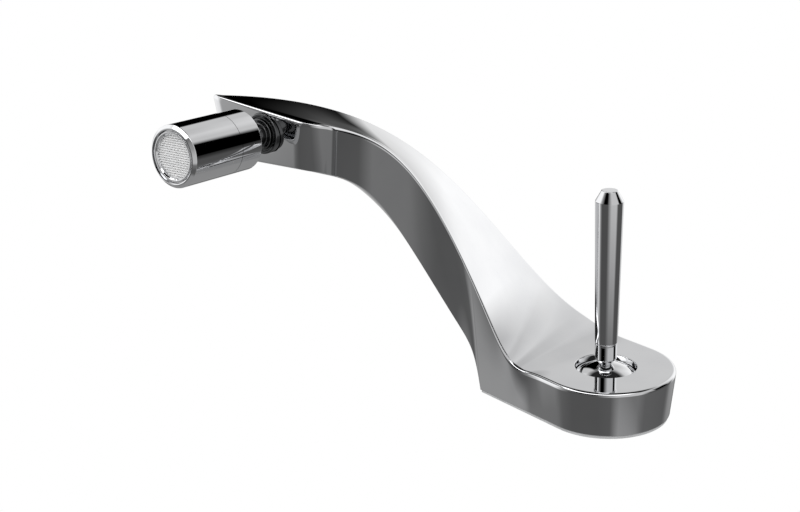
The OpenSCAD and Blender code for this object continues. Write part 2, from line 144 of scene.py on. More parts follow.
def climb(along, start, start_soft, crest, crest_soft, slope_left):
    """A level run, a steady climb from start, and a crest past which only a share of the slope is left."""
    foot = log(exp((along - start) / start_soft) + 1) * start_soft
    head = log(exp((along - crest) / crest_soft) + 1) * crest_soft
    return foot - head * (1 - slope_left)


def ramp(along, rule):
    """The climb as a share of its whole height, eased in from the base."""
    return ease(along * CLIMB_ONSET) * climb(along, *rule) / climb(1, *rule)


def new_tree(label, sizes):
    """A Geometry Nodes tree with one named input for each size."""
    tree = bpy.data.node_groups.new(label, "GeometryNodeTree")
    tree.interface.new_socket("Geometry", in_out="OUTPUT", socket_type="NodeSocketGeometry")
    for name, value in sizes.items():
        port = tree.interface.new_socket(name, in_out="INPUT", socket_type="NodeSocketFloat")
        port.default_value = value
    source = tree.nodes.new("NodeGroupInput")
    return tree, {name: Field(tree, source.outputs[name]) for name in sizes}


def lattice(tree, rows, columns):
    """A grid of quads, with its row and column numbers as fields."""
    grid = tree.nodes.new("GeometryNodeMeshGrid")
    grid.inputs["Size X"].default_value = 1
    grid.inputs["Size Y"].default_value = 1
    grid.inputs["Vertices X"].default_value = rows + 1
    grid.inputs["Vertices Y"].default_value = columns + 1
    place = tree.nodes.new("ShaderNodeSeparateXYZ")
    tree.links.new(tree.nodes.new("GeometryNodeInputPosition").outputs[0], place.inputs[0])
    row = (Field(tree, place.outputs["X"]) + 0.5) * rows
    column = (Field(tree, place.outputs["Y"]) + 0.5) * columns
    return grid.outputs["Mesh"], row, column


def moved(tree, geometry, position):
    """The geometry with each point set to the position that its fields give."""
    point = tree.nodes.new("ShaderNodeCombineXYZ")
    for port, value in zip(point.inputs, position):
        tree.links.new(value.socket, port)
    move = tree.nodes.new("GeometryNodeSetPosition")
    tree.links.new(geometry, move.inputs["Geometry"])
    tree.links.new(point.outputs[0], move.inputs["Position"])
    return move.outputs[0]


def end_tree(tree, geometry, material):
    """Welds the seams, makes the result real and gives it its material."""
    weld = tree.nodes.new("GeometryNodeMergeByDistance")
    weld.inputs["Distance"].default_value = WELD
    real = tree.nodes.new("GeometryNodeRealizeInstances")
    coating = tree.nodes.new("GeometryNodeSetMaterial")
    coating.inputs["Material"].default_value = material
    end = tree.nodes.new("NodeGroupOutput")
    tree.links.new(geometry, weld.inputs[0])
    tree.links.new(weld.outputs[0], real.inputs[0])
    tree.links.new(real.outputs[0], coating.inputs["Geometry"])
    tree.links.new(coating.outputs[0], end.inputs["Geometry"])


def made_by(tree, name, sizes, cutters=()):
    """The tree's result as a plain mesh object, with the cutters taken out of it."""
    piece = bpy.data.objects.new(name, bpy.data.meshes.new(name))
    bpy.context.scene.collection.objects.link(piece)
    rule = piece.modifiers.new("Rule", "NODES")
    rule.node_group = tree
    for port in tree.interface.items_tree:
        if port.in_out == "INPUT" and port.name in sizes:
            rule[port.identifier] = sizes[port.name]
    for cutter in cutters:
        cut = piece.modifiers.new("Cut", "BOOLEAN")
        cut.operation = "DIFFERENCE"
        cut.solver = "EXACT"
        cut.object = cutter
    bpy.context.view_layer.update()
    result = piece.evaluated_get(bpy.context.evaluated_depsgraph_get())
    mesh = bpy.data.meshes.new_from_object(result)
    piece.modifiers.clear()
    piece.data = mesh
    for cutter in cutters:
        bpy.data.objects.remove(cutter)
    return smooth(piece)


def smooth(piece, angle=35):
    """Outward faces, shaded smooth up to the given angle."""
    shape = bmesh.new()
    shape.from_mesh(piece.data)
    bmesh.ops.remove_doubles(shape, verts=shape.verts, dist=MERGE)
    bmesh.ops.dissolve_degenerate(shape, edges=shape.edges, dist=MERGE)
    bmesh.ops.recalc_face_normals(shape, faces=shape.faces)
    shape.to_mesh(piece.data)
    shape.free()
    piece.data.shade_smooth()
    piece.data.set_sharp_from_angle(angle=math.radians(angle))
    return piece


def stretch(column, first, count, edge=WALL_STEP):
    """How far along a straight stretch of the section a column lies, with a narrow step at each end."""
    start = share(column - first) * edge
    middle = share((column - first - 1) / count) * (1 - 2 * edge)
    return start + middle + share(column - first - 1 - count) * edge


def casting_tree(material):
    """The whole casting as one sheet of rows along the arm and columns round its section."""
    tree, size = new_tree("Curled casting", CASTING)
    base_r, base_h, sheet = size["Base radius"], size["Base height"], size["Sheet under base"]
    draft, edge, low_edge = size["Wall draft"], size["Edge round"], size["Lower edge round"]
    turn_r, turn, corner = size["Turn radius"], size["Turn angle"], size["Inner corner"]
    rows = TIP_ROWS + FOOT_ROWS + STEP_ROWS + ARM_ROWS + CORNER_ROWS + FACE_ROWS
    straight_columns = 2 * WALL_COLUMNS + TOP_COLUMNS + UNDER_COLUMNS + STRETCHES * EDGE_STEPS
    columns = straight_columns + 2 * ROUND_COLUMNS + 2 * SMALL_COLUMNS
    mesh, row, column = lattice(tree, rows, columns)

    mid_r = turn_r + base_r
    arc = mid_r * turn
    length = arc + size["End length"]
    foot = length * FOOT_SHARE
    right = math.pi / 2

    # Rows run from the round tip of the base along the arm, over the rounded corners and across the end.
    tip = (1 - share(row / TIP_ROWS)) * right
    row = row - TIP_ROWS
    along = share(row / FOOT_ROWS) * (foot + size["Turn start"]) - size["Turn start"]
    row = row - FOOT_ROWS
    step = share(row / STEP_ROWS)
    along = along + (step * step * STEP_CROWDING + step * (1 - STEP_CROWDING)) * STEP_LENGTH
    row = row - STEP_ROWS
    along = along + share(row / ARM_ROWS) * (length - corner - foot - STEP_LENGTH)
    row = row - ARM_ROWS
    along = along + (share(row / CORNER_ROWS) * right).math("SINE") * corner
    row = row - CORNER_ROWS
    face = share(row) * FACE_RIM + share((row - 1) / (FACE_ROWS - 1)) * (1 - FACE_RIM)

    # Heights here are measured from the flat top of the base.
    def tall(at):
        """How tall the inner wall is at a share of the arm's length."""
        middle, softness = THINNING
        extra = size["Root height"] - size["End height"]
        return size["End height"] + extra / (exp((at - middle) / softness) + 1)

    def nose(radius):
        """How far a rounded corner of this radius draws the section in, close to the end face."""
        past = (along - length + radius).math("MAXIMUM", 0)
        return radius - (radius * radius - past * past).math("MAXIMUM", 0).math("SQRT")

    rise = along / length
    top_in = size["Inner rise"] * ramp(rise, INNER_CLIMB)
    top_out = size["Outer rise"] * ramp(rise, OUTER_CLIMB)
    ground = sheet - base_h
    foot_half = base_r + draft * ground
    past_foot = (along - foot).math("MAXIMUM", 0)
    after = along.math("GREATER_THAN", foot)
    foot_top = size["Inner rise"] * ramp(FOOT_SHARE, INNER_CLIMB)
    drop = exp(-past_foot / size["Foot softness"]) * (foot_top - tall(FOOT_SHARE) - ground)
    low = ground + after * (top_in - tall(rise) - drop - ground)

    # Past the middle of the arm its outer lower edge is lifted, so that the underside tilts outwards.
    lift = ease((rise - LIFT_START) / LIFT_RISE) * ease((LIFT_END - rise) / LIFT_FALL) * OUTER_LIFT

    # The foot of the inner wall is straight under the base and follows the turn past the foot.
    inner = turn_r + nose(corner)
    outer = turn_r + base_r * 2 - nose(size["Outer corner"])
    turned_by = along.math("MAXIMUM", 0).math("MINIMUM", arc) / mid_r
    straight = (mid_r - foot_half) / turned_by.math("COSINE")

    def foot_wall(at):
        """The lean of the inner wall where its foot is still straight under the base."""
        foot_line = (mid_r - foot_half) / (at / mid_r).math("COSINE")
        return (foot_line - turn_r) / (size["Inner rise"] * ramp(at / length, INNER_CLIMB) - ground)

    extra_lean = foot_wall(foot) - draft
    lean_slope = (foot_wall(foot) - foot_wall(foot - FOOT_STEP)) / FOOT_STEP
    lean_slope = lean_slope + extra_lean / size["Foot lean length"]
    lean_in = draft + (extra_lean + lean_slope * past_foot) * exp(-past_foot / size["Foot lean length"])
    foot_in = straight + after * (inner + lean_in * (top_in - low) - straight)
    foot_out = outer - draft * (top_out - low - lift)

    # Columns walk round one section: inner wall, round, top, round, outer wall, round, underside and the
    # last round. The top runs from a to b, at heights za and zb, and the walls come down to la and lb.
    inset = nose(edge)
    a, b = inner + inset, outer - inset
    za, zb = top_in - inset, top_out - inset
    la, lb = foot_in + inset, foot_out - inset
    under = low + inset * after * UNDER_INSET
    slope = math.atan(CASTING["Wall draft"])
    cos_s, sin_s = math.cos(slope), math.sin(slope)
    first = 0
    c_wall = stretch(column, first, WALL_COLUMNS)
    first += WALL_COLUMNS + EDGE_STEPS
    turn_a = share((column - first) / ROUND_COLUMNS) * (right + slope) - slope
    first += ROUND_COLUMNS
    top_first = first
    c_top = stretch(column, first, TOP_COLUMNS, FLAT_STEP)
    first += TOP_COLUMNS + EDGE_STEPS
    top_last = first
    turn_b = share((column - first) / ROUND_COLUMNS) * (right + slope)
    first += ROUND_COLUMNS
    c_out = stretch(column, first, WALL_COLUMNS)
    first += WALL_COLUMNS + EDGE_STEPS
    turn_c = share((column - first) / SMALL_COLUMNS) * right
    first += SMALL_COLUMNS
    under_first = first
    c_under = stretch(column, first, UNDER_COLUMNS, FLAT_STEP)
    first += UNDER_COLUMNS + EDGE_STEPS
    turn_d = share((column - first) / SMALL_COLUMNS) * right
    radius = (
        la
        + c_wall * (a + edge * (1 - cos_s) - la)
        + edge * (cos_s - turn_a.math("COSINE"))
        + c_top * (b - a - edge * 2)
        + edge * turn_b.math("SINE")
        + c_out * (lb - b + edge * (1 - cos_s))
        + low_edge * (turn_c.math("COSINE") - 1)
        + c_under * (la - lb + low_edge * 2)
        - low_edge * turn_d.math("SINE")
    )
    height = (
        under
        + low_edge
        + c_wall * (za - under - low_edge - edge * (1 + sin_s))
        + edge * (turn_a.math("SINE") + sin_s)
        + c_top * (zb - za)
        + edge * (turn_b.math("COSINE") - 1)
        + c_out * (under + lift + low_edge - zb + edge * (1 + sin_s))
        - low_edge * turn_c.math("SINE")
        - c_under * lift
        + low_edge * (1 - turn_d.math("COSINE"))
    )
    radius = radius + face * ((a + b) * 0.5 - radius)
    height = height + face * ((za + zb) * 0.25 + under * 0.5 - height)

    # The section is set in plan: straight, round the turn, then straight again to a leaning end face.
    lean = draft * (size["Outer rise"] - height) * ease((along - length + corner) / corner)
    at = along - lean
    angle = at.math("MAXIMUM", 0).math("MINIMUM", arc) / mid_r
    run = (at - arc).math("MAXIMUM", 0)
    before = at.math("MINIMUM", 0)
    x = -(size["Turn start"] + before + radius * angle.math("SINE") + run * turn.math("COSINE"))
    y = radius * angle.math("COSINE") - run * turn.math("SINE") - mid_r
    on_top = column.math("GREATER_THAN", top_first - 0.5) * column.math("LESS_THAN", top_last + 0.5)
    on_floor = column.math("GREATER_THAN", under_first - 0.5) * column.math("LESS_THAN", first + 0.5)
    reach = y.math("ABSOLUTE")
    reach = reach + on_top * (base_r - edge - reach) + on_floor * (foot_half - low_edge - reach)
    x = x + reach * tip.math("SINE")
    y = y * tip.math("COSINE")
    end_tree(tree, moved(tree, mesh, (x, y, height + base_h)), material)
    return tree


ROUND_LIMIT, FLANK_SHARE, FLANK_LIMIT = 0.45, 0.1, 0.04
TINY = 1e-9


def eased(outline, steps=6):
    """Outline points (radius, height, corner round) as a polyline, with a point close beside each round."""
    points = []
    for index, (r, z, fillet) in enumerate(outline):
        here = Vector((r, z))
        back = Vector(outline[index - 1][:2]) - here
        on = Vector(outline[(index + 1) % len(outline)][:2]) - here
        if not fillet or back.length < TINY or on.length < TINY:
            points.append(here)
            continue
        half = back.angle(on) / 2
        cut = min(fillet / math.tan(half), ROUND_LIMIT * back.length, ROUND_LIMIT * on.length)
        start, end = here + back.normalized() * cut, here + on.normalized() * cut
        points.append(start + back.normalized() * min(FLANK_SHARE * cut, FLANK_LIMIT * back.length))
        for k in range(steps + 1):
            t = k / steps
            points.append((1 - t) ** 2 * start + 2 * t * (1 - t) * here + t ** 2 * end)
        points.append(end + on.normalized() * min(FLANK_SHARE * cut, FLANK_LIMIT * on.length))
    return points


def turned(name, points, place, sides=160, trim=None):
    """A closed outline of (radius, height) points spun round the Z axis of its place.

    A trim rule, where one is given, sets the radius by radius, height and angle.
    """
    shape = bmesh.new()
    rings = []
    for k in range(sides):
        a = 2 * math.pi * k / sides
        radii = [trim(r, z, a) if trim else r for r, z in points]
        places = [Vector((r * math.cos(a), r * math.sin(a), z)) for r, (_, z) in zip(radii, points)]
        rings.append([shape.verts.new(place @ point) for point in places])
    for k in range(sides):
        ring, following = rings[k], rings[(k + 1) % sides]
        for j in range(len(points)):
            i = (j + 1) % len(points)
            if points[j][0] > TINY or points[i][0] > TINY:
                shape.faces.new((ring[j], following[j], following[i], ring[i]))
    mesh = bpy.data.meshes.new(name)
    shape.to_mesh(mesh)
    shape.free()
    piece = bpy.data.objects.new(name, mesh)
    bpy.context.scene.collection.objects.link(piece)
    return smooth(piece)


def arc_points(radius, start, end, steps):
    """Points of an arc about the origin, by angle from the axis."""
    angles = [start + (end - start) * k / steps for k in range(steps + 1)]
    return [Vector((radius * math.sin(a), radius * math.cos(a))) for a in angles]


def new_group(label, inputs, outputs):
    """A shader node group with named float inputs and outputs, on Object coordinates."""
    group = bpy.data.node_groups.new(label, "ShaderNodeTree")
    for name, value in inputs.items():
        port = group.interface.new_socket(name, in_out="INPUT", socket_type="NodeSocketFloat")
        port.default_value = value
    for name in outputs:
        group.interface.new_socket(name, in_out="OUTPUT", socket_type="NodeSocketFloat")
    source = group.nodes.new("NodeGroupInput")
    end = group.nodes.new("NodeGroupOutput")
    place = group.nodes.new("ShaderNodeTexCoord").outputs["Object"]
    return group, source, end, place


def haze_group():
    """Patchy mask of touched and wiped areas."""
    group, source, end, place = new_group("Handling haze", {"Scale": 40, "Sharpness": 3}, ["Mask"])
    noise = group.nodes.new("ShaderNodeTexNoise")
    noise.inputs["Detail"].default_value = 5
    lift = group.nodes.new("ShaderNodeMath")
    lift.operation = "SUBTRACT"
    lift.inputs[1].default_value = 0.5
    spread = group.nodes.new("ShaderNodeMath")
    spread.operation = "MULTIPLY_ADD"
    spread.use_clamp = True
    spread.inputs[2].default_value = 0.5
    group.links.new(place, noise.inputs["Vector"])
    group.links.new(source.outputs["Scale"], noise.inputs["Scale"])
    group.links.new(noise.outputs[0], lift.inputs[0])
    group.links.new(lift.outputs[0], spread.inputs[0])
    group.links.new(source.outputs["Sharpness"], spread.inputs[1])
    group.links.new(spread.outputs[0], end.inputs["Mask"])
    return group


def grain_group():
    """Fine surface height: moulded grain, or the last waviness that polishing leaves."""
    group, source, end, place = new_group("Surface grain", {"Scale": 400, "Detail": 2}, ["Height"])
    noise = group.nodes.new("ShaderNodeTexNoise")
    group.links.new(place, noise.inputs["Vector"])
    group.links.new(source.outputs["Scale"], noise.inputs["Scale"])
    group.links.new(source.outputs["Detail"], noise.inputs["Detail"])
    group.links.new(noise.outputs[0], end.inputs["Height"])
    return group


HAZE, GRAIN = haze_group(), grain_group()


def finish(name, light, dark, metal, rough, haze, grain, depth):
    """A material: colour and roughness drift with the haze, and the grain lifts the surface by depth."""
    material = bpy.data.materials.new(name)
    material.use_nodes = True
    nodes, links = material.node_tree.nodes, material.node_tree.links
    shader = nodes["Principled BSDF"]
    shader.inputs["Metallic"].default_value = metal
    patches = nodes.new("ShaderNodeGroup")
    patches.node_tree = HAZE
    patches.inputs["Scale"].default_value = haze
    relief = nodes.new("ShaderNodeGroup")
    relief.node_tree = GRAIN
    relief.inputs["Scale"].default_value = grain
    colour = nodes.new("ShaderNodeMix")
    colour.data_type = "RGBA"
    colour.inputs["A"].default_value = (*light, 1)
    colour.inputs["B"].default_value = (*dark, 1)
    gloss = nodes.new("ShaderNodeMapRange")
    gloss.inputs["To Min"].default_value = rough[0]
    gloss.inputs["To Max"].default_value = rough[1]
    bump = nodes.new("ShaderNodeBump")
    bump.inputs["Distance"].default_value = depth
    links.new(patches.outputs["Mask"], colour.inputs["Factor"])
    links.new(patches.outputs["Mask"], gloss.inputs["Value"])
    links.new(relief.outputs["Height"], bump.inputs["Height"])
    links.new(colour.outputs["Result"], shader.inputs["Base Color"])
    links.new(gloss.outputs["Result"], shader.inputs["Roughness"])
    links.new(bump.outputs["Normal"], shader.inputs["Normal"])
    return material


def coat(piece, material):
    """One material over the whole piece."""
    piece.data.materials.clear()
    piece.data.materials.append(material)
    return piece


chrome = finish("Polished chrome", (0.86, 0.865, 0.875), (0.82, 0.825, 0.84),
                metal=1, rough=(0.015, 0.035), haze=60, grain=90, depth=1e-6)
spin = next(joint for joint in frame["joints"] if joint["name"] == "outlet_spin")
BALL = Vector(spin["pos_m"])
OUTLET = Matrix.Translation(BALL) @ Vector(spin["axis"]).to_track_quat("Z", "Y").to_matrix().to_4x4()
UPRIGHT = Matrix.Identity(4)
BASE_TOP = CASTING["Base height"]
SHANK_R = 0.016
DOME_R = 0.022
DISH_R = 0.0128
BALL_OFF = 0.019
SPOT_R, SPOT_DEPTH = 0.0084, 0.0015
STEM_OUT_R, SOCKET_DEPTH, SOCKET_PAST = 0.005, 0.016, 0.005
WELL_GAP, WELL_FLOOR, WELL_PAST, HEAD_STEP = 0.0004, 0.0086, 0.001, 0.0025
LIP, LIP_ANGLES, LIP_END = 0.00035, (0, 0.3, 0.6, 0.9, 1.2, 1.4), 0.83
well_r = DOME_R + WELL_GAP
bore_r = SHANK_R + HEAD_STEP
well = [Vector((0, -WELL_PAST)), Vector((bore_r, -WELL_PAST)), Vector((bore_r, WELL_FLOOR))]
well += reversed(arc_points(well_r, math.asin(DISH_R / well_r), math.acos(WELL_FLOOR / well_r), 10))
well += [Vector((DISH_R + LIP * (1 - math.cos(a)), BASE_TOP - LIP * (1 - math.sin(a)))) for a in LIP_ANGLES]
well += [Vector((DISH_R + LIP * LIP_END, BASE_TOP + WELL_PAST)), Vector((0, BASE_TOP + WELL_PAST))]
socket_floor = -BALL_OFF - SOCKET_DEPTH
spot = -BALL_OFF - SPOT_DEPTH
socket_mouth = -BALL_OFF + SOCKET_PAST
socket = [Vector((0, socket_floor)), Vector((STEM_OUT_R, socket_floor)), Vector((STEM_OUT_R, spot)),
          Vector((SPOT_R, spot)), Vector((SPOT_R, socket_mouth)), Vector((0, socket_mouth))]
cutters = [turned("lever_well", well, UPRIGHT), turned("outlet_socket", socket, OUTLET)]
casting = made_by(casting_tree(chrome), "curled_casting", CASTING, cutters)
coat(casting, chrome)
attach(casting, "base")
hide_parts("body")

# Sheet under the base
# A thin sealing sheet of grey rubber, cut to the outline of the foot and laid between casting and deck.
# Its solid already has the true outline, so only its matt, finely pitted skin is made here.
grey_rubber = finish("Grey rubber", (0.5, 0.505, 0.51), (0.4, 0.405, 0.41),
                     metal=0, rough=(0.55, 0.8), haze=150, grain=2600, depth=2e-5)
coat(frame["nodes"]["base_gasket"], grey_rubber)

# Shank
# A brass tube that screws up into the casting by its head. It is turned from bar, bored through for the
# cartridge, left plain where it passes the deck and cut with a fine flat-crested thread from there down.
SHANK = {
    "Radius": SHANK_R,
    "Bore": 0.0125,
    "Head radius": 0.0184,
    "Head height": 0.005,
    "Length": 0.054,
    "Plain length": 0.015,
    "Thread pitch": 0.0015,
    "Thread depth": 0.0009,
    "Crest relief": 0.00015,
    "Broken edge": 0.0005,
}
SHANK_SIDES, THREAD_FIRST, THREAD_COLUMNS = 96, 9, 260
FLANK_SLOPE, CREST_SHARE = 3, 0.25


def marks_group():
    """Height of the fine rings that a turning tool leaves round the Z axis."""
    group, source, end, place = new_group("Turning marks", {"Scale": 4000}, ["Height"])
    apart = group.nodes.new("ShaderNodeSeparateXYZ")
    around = group.nodes.new("ShaderNodeVectorMath")
    around.operation = "LENGTH"
    flat = group.nodes.new("ShaderNodeVectorMath")
    flat.operation = "MULTIPLY"
    flat.inputs[1].default_value = (1, 1, 0)
    ring = group.nodes.new("ShaderNodeCombineXYZ")
    noise = group.nodes.new("ShaderNodeTexNoise")
    noise.inputs["Detail"].default_value = 3
    group.links.new(place, apart.inputs[0])
    group.links.new(place, flat.inputs[0])
    group.links.new(flat.outputs[0], around.inputs[0])
    group.links.new(around.outputs["Value"], ring.inputs["X"])
    group.links.new(apart.outputs["Z"], ring.inputs["Z"])
    group.links.new(ring.outputs[0], noise.inputs["Vector"])
    group.links.new(source.outputs["Scale"], noise.inputs["Scale"])
    group.links.new(noise.outputs[0], end.inputs["Height"])
    return group


MARKS = marks_group()


def machined(name, light, dark, rough, haze, rings, depth):
    """A bare turned metal: the finish of the other metals, with tool rings in place of the grain."""
    material = finish(name, light, dark, metal=1, rough=rough, haze=haze, grain=rings, depth=depth)
    nodes, links = material.node_tree.nodes, material.node_tree.links
    relief = next(node for node in nodes if node.type == "GROUP" and node.node_tree == GRAIN)
    relief.node_tree = MARKS
    relief.inputs["Scale"].default_value = rings
    links.new(relief.outputs["Height"], nodes["Bump"].inputs["Height"])
    return material


def path(column, stops):
    """Radius and height along a path. Each stop is (columns since the one before, radius, height)."""
    _, radius, height = stops[0]
    last_radius, last_height, first = radius, height, 0
    for count, stop_radius, stop_height in stops[1:]:
        part = share((column - first) / count)
        radius = radius + part * (stop_radius - last_radius)
        height = height + part * (stop_height - last_height)
        last_radius, last_height, first = stop_radius, stop_height, first + count
    return radius, height


def shank_tree(material):
    """The shank as one sheet: rows go round it, columns along its bore, head, thread and foot."""
    tree, size = new_tree("Threaded shank", SHANK)
    outer, bore, head = size["Radius"], size["Bore"], size["Head radius"]
    top, foot, deck = size["Head height"], -size["Length"], -size["Plain length"]
    edge, crest = size["Broken edge"], size["Radius"] - size["Crest relief"]
    stops = [
        (0, bore, foot + edge),
        (1, bore, top - edge),
        (1, bore + edge, top),
        (1, head - edge, top),
        (1, head, top - edge),
        (1, head, edge),
        (1, head - edge, 0),
        (1, outer, 0),
        (1, outer, deck),
        (1, crest, deck - edge),
        (THREAD_COLUMNS, crest, foot + edge * 2),
        (1, crest - edge * 2, foot),
        (1, bore + edge, foot),
        (1, bore, foot + edge),
    ]
    columns = sum(count for count, _, _ in stops)
    mesh, row, column = lattice(tree, SHANK_SIDES, columns)
    angle = row * (2 * math.pi / SHANK_SIDES)
    radius, height = path(column, stops)
    pitch = size["Thread pitch"]
    on_thread = share((deck - edge - height) / pitch) * share((height - foot - edge) / pitch)
    outside = column.math("GREATER_THAN", THREAD_FIRST - 0.5)
    outside = outside * column.math("LESS_THAN", THREAD_FIRST + 0.5 + THREAD_COLUMNS)
    turns = (height / pitch + angle / (2 * math.pi)).math("FRACT")
    groove = share((turns - 0.5).math("ABSOLUTE") * FLANK_SLOPE - CREST_SHARE)
    radius = radius - outside * on_thread * groove * size["Thread depth"]
    position = (radius * angle.math("COSINE"), radius * angle.math("SINE"), height)
    end_tree(tree, moved(tree, mesh, position), material)
    return tree


brass = machined("Turned brass", (0.79, 0.61, 0.31), (0.68, 0.5, 0.24),
                 rough=(0.2, 0.34), haze=90, rings=5200, depth=6e-6)
shank = made_by(shank_tree(brass), "threaded_shank", SHANK)
coat(shank, brass)
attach(shank, "base")
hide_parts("shank")

# Deck washers and nut
# A rubber ring and a pressed steel ring spread the pull of a flanged brass hexagon nut on the underside
# of the deck. The rubber is moulded with soft edges, the steel is punched, and the nut is chamfered at its
# foot.
WASHER_R, RUBBER_BORE, STEEL_BORE = 0.024, 0.0163, 0.0162
RUBBER_ROUND, STEEL_ROUND, NUT_ROUND = 0.0005, 0.0002, 0.0004
RUBBER_TOP, STEEL_TOP, NUT_TOP, NUT_FOOT = -0.015, -0.018, -0.02, -0.029
NUT_CORNER_R, NUT_FLANGE_R, NUT_FLANGE = 0.0216, 0.022, 0.002
NUT_FOOT_R, NUT_CHAMFER = 0.0192, 0.0014
NUT_BORE, NUT_MOUTH_R, NUT_MOUTH = 0.0159, 0.0167, 0.0008


def ring_outline(inner, outer, low, high, fillet):
    """Closed outline of a plain ring with rounded edges."""
    corners = ((inner, low), (outer, low), (outer, high), (inner, high))
    return eased([(r, z, fillet) for r, z in corners], steps=4)


def hexagon(radius, height, angle):
    """Radius held inside the hexagon below the flange."""
    if height > NUT_TOP - NUT_FLANGE + WELD:
        return radius
    side = math.radians(60)
    return min(radius, NUT_CORNER_R * math.cos(side / 2) / math.cos(angle % side - side / 2))


black_rubber = finish("Black rubber", (0.045, 0.045, 0.046), (0.03, 0.03, 0.031),
                      metal=0, rough=(0.5, 0.75), haze=200, grain=2400, depth=2e-5)
steel = machined("Satin steel", (0.66, 0.665, 0.67), (0.58, 0.585, 0.59),
                 rough=(0.26, 0.4), haze=110, rings=6500, depth=4e-6)
rubber_outline = ring_outline(RUBBER_BORE, WASHER_R, STEEL_TOP, RUBBER_TOP, RUBBER_ROUND)
rubber_ring = turned("deck_rubber_ring", rubber_outline, UPRIGHT)
steel_outline = ring_outline(STEEL_BORE, WASHER_R, NUT_TOP, STEEL_TOP, STEEL_ROUND)
steel_ring = turned("deck_steel_ring", steel_outline, UPRIGHT)
nut_outline = eased([
    (NUT_MOUTH_R, NUT_FOOT, 0),
    (NUT_FOOT_R, NUT_FOOT, 0),
    (NUT_CORNER_R, NUT_FOOT + NUT_CHAMFER, 0),
    (NUT_CORNER_R, NUT_TOP - NUT_FLANGE, 0),
    (NUT_FLANGE_R, NUT_TOP - NUT_FLANGE, NUT_ROUND),
    (NUT_FLANGE_R, NUT_TOP, NUT_ROUND),
    (NUT_MOUTH_R, NUT_TOP, 0),
    (NUT_BORE, NUT_TOP - NUT_MOUTH, 0),
    (NUT_BORE, NUT_FOOT + NUT_MOUTH, 0),
])
hex_nut = turned("deck_nut", nut_outline, UPRIGHT, sides=240, trim=hexagon)
for piece, material, node, slot in (
    (rubber_ring, black_rubber, "rubber_washer", "rubber"),
    (steel_ring, steel, "clamp_washer", "steel"),
    (hex_nut, brass, "shank_nut", "brass"),
):
    coat(piece, material)
    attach(piece, "base")
    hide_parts(node)

# Cartridge
# The mixing cartridge sits in the shank: a moulded housing and base, two lapped ceramic discs, a driver and
# carrier in grey plastic, a steel pin and spindle, rubber seals, a brass plug with the hose threads and a
# brass ring nut. These pieces are closed in, and their solids are kept under their own finishes.
white_plastic = finish("White moulding", (0.83, 0.83, 0.81), (0.77, 0.77, 0.745),
                       metal=0, rough=(0.34, 0.48), haze=130, grain=1800, depth=1.2e-5)
grey_plastic = finish("Grey moulding", (0.27, 0.28, 0.3), (0.21, 0.22, 0.24),
                      metal=0, rough=(0.34, 0.5), haze=130, grain=1800, depth=1.2e-5)
ceramic = finish("Lapped ceramic", (0.91, 0.9, 0.86), (0.86, 0.85, 0.8),
                 metal=0, rough=(0.08, 0.16), haze=220, grain=5200, depth=2e-6)
for material, nodes in (
    (brass, ("inlet_block", "cartridge_nut")),
    (black_rubber, ("port_seals", "dish_seal")),
    (white_plastic, ("cartridge_base", "cartridge_housing")),
    (ceramic, ("fixed_disc", "moving_disc")),
    (grey_plastic, ("disc_driver", "turn_carrier")),
    (steel, ("tilt_pin", "spindle")),
):
    for node in nodes:
        coat(frame["nodes"][node], material)

# Dome
# A spun brass shell, polished and chromed, fills the round opening in the base. It is centred on the tilt
# axis and clamped on the spindle, so it follows the lever and keeps the opening closed.
STEM_R = 0.0025
DOME_T = 0.0014
DOME_RIM = 0.014
dome_in = DOME_R - DOME_T
dome_outline = arc_points(DOME_R, math.asin(STEM_R / DOME_R), math.acos(DOME_RIM / DOME_R), 48)
dome_under = arc_points(dome_in, math.asin(STEM_R / dome_in), math.acos(DOME_RIM / dome_in), 32)
dome_outline += reversed(dome_under)
dome = turned("lever_dome", dome_outline, UPRIGHT)

# Lever
# The joystick is turned from brass bar in two pieces and chromed: a collar with a conical foot stands on
# the dome, and the rod is pushed on above it. The rod widens upwards and ends in a broad chamfer with a
# flat top.
LEVER_TOP, LEVER_R, LEVER_FOOT_R = 0.0762, 0.0058, 0.0047
CHAMFER_H, CHAMFER_W = 0.0045, 0.0025
COLLAR_FOOT, COLLAR_CONE, COLLAR_TOP, COLLAR_R = 0.0012, 0.0036, 0.0105, 0.00455
COLLAR_LAND, CONE_ROUND, COLLAR_ROUND = 0.0002, 0.0006, 0.0002
ROD_DEPTH, ROD_FOOT_ROUND, ROD_SHOULDER_ROUND, ROD_TOP_ROUND = 0.015, 0.0004, 0.0006, 0.0004
STANDING = Matrix.Translation((0, 0, BASE_TOP))
collar_outline = eased([
    (STEM_R, COLLAR_FOOT, 0),
    (STEM_R + COLLAR_LAND, COLLAR_FOOT, 0),
    (COLLAR_R, COLLAR_CONE, CONE_ROUND),
    (COLLAR_R, COLLAR_TOP, COLLAR_ROUND),
    (STEM_R, COLLAR_TOP, 0),
])
rod_outline = eased([
    (STEM_R, COLLAR_TOP, 0),
    (LEVER_FOOT_R, COLLAR_TOP, ROD_FOOT_ROUND),
    (LEVER_R, LEVER_TOP - CHAMFER_H, ROD_SHOULDER_ROUND),
    (LEVER_R - CHAMFER_W, LEVER_TOP, ROD_TOP_ROUND),
    (0, LEVER_TOP, 0),
    (0, ROD_DEPTH, 0),
    (STEM_R, ROD_DEPTH, 0),
], steps=10)
collar = turned("lever_collar_ring", collar_outline, STANDING)
rod = turned("lever_handle", rod_outline, STANDING)
for piece, node in ((dome, "dome_cap"), (collar, "lever_collar"), (rod, "lever_rod")):
    coat(piece, chrome)
    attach(piece, "lever")
    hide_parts(node)

